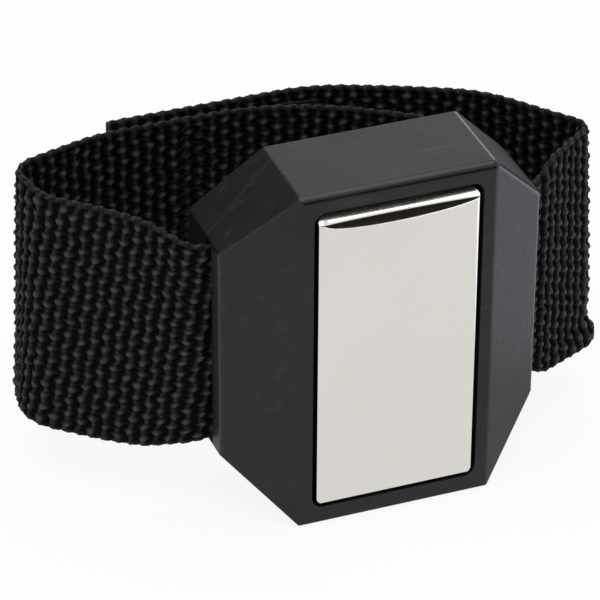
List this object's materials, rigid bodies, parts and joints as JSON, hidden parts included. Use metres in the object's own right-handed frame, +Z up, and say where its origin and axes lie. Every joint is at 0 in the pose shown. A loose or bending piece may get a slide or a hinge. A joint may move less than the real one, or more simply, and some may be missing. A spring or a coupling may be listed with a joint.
{
  "type": "magnetic wristband",
  "caption": "Wristband with a magnetic steel face plate in a black eight-sided plastic housing, on a woven strap that closes with hook and loop tape, for holding small screws and bits.",
  "frame": {"origin": "centre of the housing's flat bottom face, on which the band stands", "axes": "+Z up along the height of the magnet face, -Y out of the magnet face, +X to the right seen from the front; the wrist passes through the loop along Z"},
  "size_m": [0.0901, 0.0473, 0.057],
  "materials": {
    "housing_plastic": "satin",
    "face_steel": "polished",
    "ferrite": "matte",
    "plain_steel": "satin",
    "webbing": "matte",
    "closure_tape": "matte"
  },
  "bodies": {
    "housing": {"front_shell": "housing_plastic", "back_cover": "housing_plastic", "face_plate": "face_steel", "magnet_upper": "ferrite", "magnet_lower": "ferrite", "keeper_plate": "plain_steel", "cover_screw_1": "plain_steel", "cover_screw_2": "plain_steel", "cover_screw_3": "plain_steel", "cover_screw_4": "plain_steel", "strap_centre": "webbing"},
    "left_arm": {"strap_left_arm": "webbing"},
    "left_back": {"strap_left_back": "webbing", "loop_tape": "closure_tape"},
    "right_arm": {"strap_right_arm": "webbing"},
    "right_back": {"strap_right_back": "webbing"},
    "flap": {"strap_flap": "webbing", "hook_tape": "closure_tape"}
  },
  "joints": [
    {"name": "right_swing", "type": "hinge", "parent": "housing", "child": "right_arm", "pos_m": [0.02536, 0.0025, 0.0285], "axis": [0, 0, -1], "range_deg": [0, 40]},
    {"name": "right_bend", "type": "hinge", "parent": "right_arm", "child": "right_back", "pos_m": [0.04129, 0.01329, 0.0285], "axis": [0, 0, -1], "range_deg": [0, 95]},
    {"name": "flap_peel", "type": "hinge", "parent": "right_back", "child": "flap", "pos_m": [0.00707, 0.0377, 0.0285], "axis": [0, 0, -1], "range_deg": [0, 100]},
    {"name": "left_swing", "type": "hinge", "parent": "housing", "child": "left_arm", "pos_m": [-0.02599, 0.00249, 0.0285], "axis": [0, 0, 1], "range_deg": [0, 20]},
    {"name": "left_bend", "type": "hinge", "parent": "left_arm", "child": "left_back", "pos_m": [-0.0485, 0.02573, 0.0285], "axis": [0, 0, 1], "range_deg": [0, 24]}
  ],
  "couplings": [
    {"joint": "left_swing", "follows": "right_swing", "ratio": 0.5},
    {"joint": "left_bend", "follows": "right_bend", "ratio": 0.25}
  ]
}
